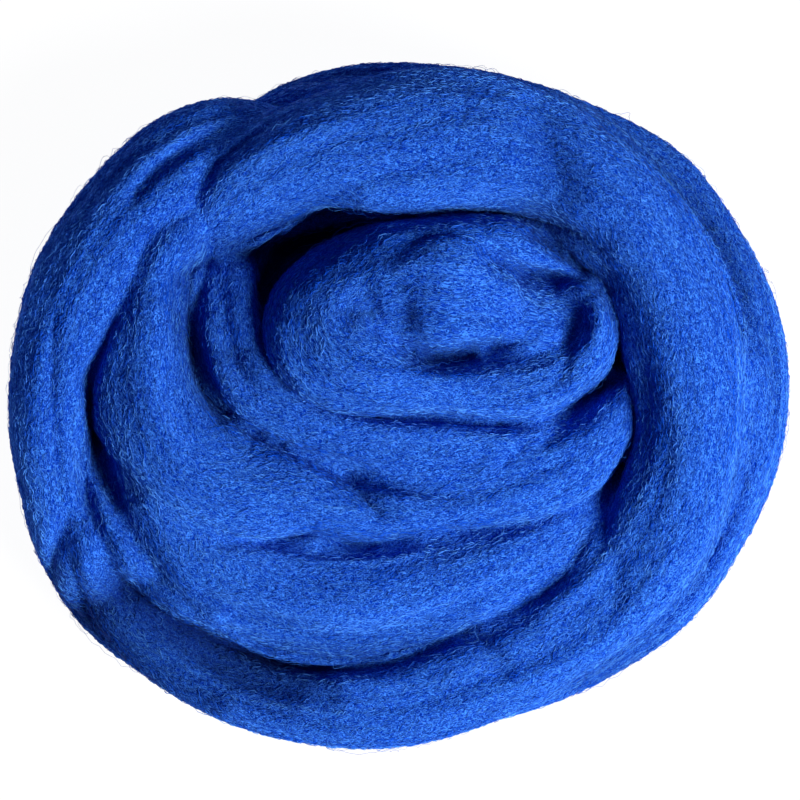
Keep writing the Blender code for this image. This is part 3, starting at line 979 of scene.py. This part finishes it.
def fibre_pieces(skin, material):
    for number in range(FIBRE_PIECES):
        rng = np.random.default_rng(FIBRE_SEED + number)
        add_fibres(f"fibres_{number + 1}", skin, *lying_fibres(skin, rng), material, rng)
    rng = np.random.default_rng(HAIR_SEED)
    add_fibres("stray_hairs", skin, *stray_hairs(skin, rng), material, rng)


def add_fibres(name, skin, paths, normals, radius, faces, material, rng):
    """A piece of fibres. Each takes its tone and its painted shade from the skin where it starts.
    """
    paths[:, :, 2] = np.maximum(paths[:, :, 2], FIBRE_RADIUS[1])
    points, triangles = spindles(paths, normals, radius)
    mesh = build_mesh(name, points, triangles)
    start = skin.quads[faces, 0]
    tone = np.clip(rng.random(len(paths)) + FIBRE_STREAK * skin.streak[start], 0.0, 1.0)
    # tone is the fibre's own paleness; shade is the painted shade of the fold it starts in
    for attribute, values in ((TONE_NAME, tone), (SHADE_NAME, skin.shade[start])):
        add_values(mesh, attribute, np.repeat(values, len(points) // len(paths)))
    add_piece(name, mesh, material)


def fibre_material():
    """Each fibre has a blue of its own, deep or pale, darkened in a fold by painted shade."""
    material = bpy.data.materials.new("wool_fibre")
    n = Nodes(material)
    pale = n.math("POWER", n.attribute(TONE_NAME), FIBRE_CONTRAST)
    colour = n.mix(pale, FIBRE_DEEP, FIBRE_PALE)
    # painted shade: the colour goes toward a deep blue the deeper the fold
    n.link(n.mix(n.attribute(SHADE_NAME), PAINTED_SHADE_BLUE, colour), "Base Color")
    n.finish(WOOL_FINISH)
    return material


class Nodes:
    """Adds shader nodes to a material. Each call returns what the new node gives out."""

    def __init__(self, material):
        material.use_nodes = True
        self.tree = material.node_tree
        self.shader = self.tree.nodes["Principled BSDF"]

    def add(self, kind, inputs, **settings):
        node = self.tree.nodes.new("ShaderNode" + kind)
        for name, value in settings.items():
            setattr(node, name, value)
        for place, value in inputs.items():
            socket = node.inputs[place]
            if isinstance(value, bpy.types.NodeSocket):
                self.tree.links.new(value, socket)
            else:
                socket.default_value = value
        return node.outputs[0]

    def math(self, operation, *values):
        return self.add("Math", dict(enumerate(values)), operation=operation)

    def noise(self, vector, detail, roughness=0.5):
        return self.add("TexNoise", {"Vector": vector, "Scale": 1.0, "Detail": detail,
                                     "Roughness": roughness})

    def between(self, value, low, high):
        """From 0 at low to 1 at high."""
        return self.add("MapRange", {0: value, 1: low, 2: high, 3: 0.0, 4: 1.0})

    def vector(self, x, y, z):
        return self.add("CombineXYZ", {0: x, 1: y, 2: z})

    def attribute(self, name, output="Fac"):
        node = self.tree.nodes.new("ShaderNodeAttribute")
        node.attribute_name = name
        return node.outputs[output]

    def split(self, vector):
        return self.add("SeparateXYZ", {0: vector}).node.outputs

    def mix(self, share, first, second):
        """A colour between two others. They go into a Mix node's sockets 6 and 7 and out of 2."""
        mixed = self.add("Mix", {0: share, 6: first, 7: second}, data_type="RGBA")
        return mixed.node.outputs[2]

    def link(self, socket, name):
        self.tree.links.new(socket, self.shader.inputs[name])

    def finish(self, values):
        """Values that are the same all over the surface."""
        for name, value in values.items():
            self.shader.inputs[name].default_value = value


def skin_material():
    """Fine crimped strokes along the strand over longer streaks, darkened in the folds by painted
    shade.
    """
    material = bpy.data.materials.new("wool_skin")
    n = Nodes(material)
    ahead, across, upward = n.split(n.attribute(STRAND_NAME, "Vector"))
    waves = n.noise(n.vector(n.math("DIVIDE", ahead, CRIMP_LENGTH),
                             n.math("DIVIDE", across, CRIMP_WIDTH),
                             n.math("DIVIDE", upward, CRIMP_WIDTH)), CRIMP_DETAIL)
    sway_across, sway_up, _ = n.split(waves.node.outputs["Color"])
    across = n.math("MULTIPLY_ADD", sway_across, CRIMP_SWAY, across)
    upward = n.math("MULTIPLY_ADD", sway_up, CRIMP_SWAY, upward)

    def stretched(length, width, turn, seed):
        """The place in the strand in lengths and widths, turned about the way up."""
        cos, sin = math.cos(turn), math.sin(turn)
        along_it = n.math("MULTIPLY", across, sin / length)
        across_it = n.math("MULTIPLY", ahead, -sin / width)
        return n.vector(n.math("MULTIPLY_ADD", ahead, cos / length, along_it),
                        n.math("MULTIPLY_ADD", across, cos / width, across_it),
                        n.math("MULTIPLY_ADD", upward, 1.0 / width, seed))

    def filaments(*row):
        """Thin lines where the noise passes its middle."""
        off_middle = n.math("SUBTRACT", n.noise(stretched(*row), STROKE_DETAIL), 0.5)
        return n.between(n.math("ABSOLUTE", off_middle), *STROKE_EDGES)

    strokes = filaments(*STROKES[0])
    for row in STROKES[1:]:
        strokes = n.math("MAXIMUM", strokes, filaments(*row))
    streaks = n.between(n.noise(stretched(*STREAK), *STREAK_DETAIL), *STREAK_EDGES)

    combed = n.between(n.attribute(TONE_NAME), *COMBED_EDGES)
    pale = n.math("ADD", n.math("MULTIPLY", streaks, STREAK_SHARE),
                  n.math("MULTIPLY", combed, COMBED_SHARE))
    colour = n.mix(strokes, n.mix(pale, DEEP_BLUE, MID_BLUE), PALE_BLUE)
    # painted shade: the colour goes toward a deep blue the deeper the fold
    n.link(n.mix(n.attribute(SHADE_NAME), PAINTED_SHADE_BLUE, colour), "Base Color")

    height = n.math("ADD", n.math("MULTIPLY", strokes, STROKE_HEIGHT),
                    n.math("MULTIPLY", streaks, STREAK_HEIGHT))
    n.link(n.add("Bump", {"Strength": BUMP, "Distance": MM, "Height": height}), "Normal")
    n.finish(WOOL_FINISH)
    return material


def make_floor():
    corner = FLOOR_SIZE / 2
    points = np.array([(-corner, -corner, 0.0), (corner, -corner, 0.0), (corner, corner, 0.0),
                       (-corner, corner, 0.0)])
    mesh = build_mesh("floor", points, np.array([[0, 1, 2, 3]]))
    material = bpy.data.materials.new("floor_white")
    Nodes(material).finish(FLOOR_FINISH)
    mesh.materials.append(material)
    floor = add_object("floor", mesh)
    floor.location.z = -FLOOR_GAP * MM


def make_lights():
    for name, place, size, power, colour in LAMPS:
        lamp = bpy.data.lights.new(name, "AREA")
        lamp.shape = "DISK"
        lamp.size = size
        lamp.energy = power
        lamp.color = colour
        obj = add_object(name, lamp)
        obj.location = place
        obj.rotation_euler = (-Vector(place)).to_track_quat("-Z", "Y").to_euler()
    world = bpy.data.worlds.new("studio")
    world.use_nodes = True
    background = world.node_tree.nodes["Background"]
    background.inputs["Color"].default_value = AMBIENT
    background.inputs["Strength"].default_value = AMBIENT_STRENGTH
    bpy.context.scene.world = world
    bpy.context.scene.view_settings.view_transform = "Standard"


def make_camera():
    """Straight above the nest and far off, so that near and far turns keep their sizes."""
    data = bpy.data.cameras.new("camera")
    data.sensor_width = SENSOR_WIDTH
    data.lens = SENSOR_WIDTH * (CAMERA_HEIGHT - SHARP_HEIGHT) / (PHOTO_PIXELS * PIXEL)
    data.clip_end = CLIP_END
    camera = add_object("camera", data)
    camera.location = ((PHOTO_PIXELS / 2 - PHOTO_CENTRE[0]) * PIXEL * MM,
                       (PHOTO_CENTRE[1] - PHOTO_PIXELS / 2) * PIXEL * MM, CAMERA_HEIGHT * MM)
    bpy.context.scene.camera = camera


make_camera()
make_lights()
make_floor()
strands = [Strand(table) for table in TURNS.values()]
skin = Skin(strands)
skin.pieces(skin_material())
fibre_pieces(skin, fibre_material())
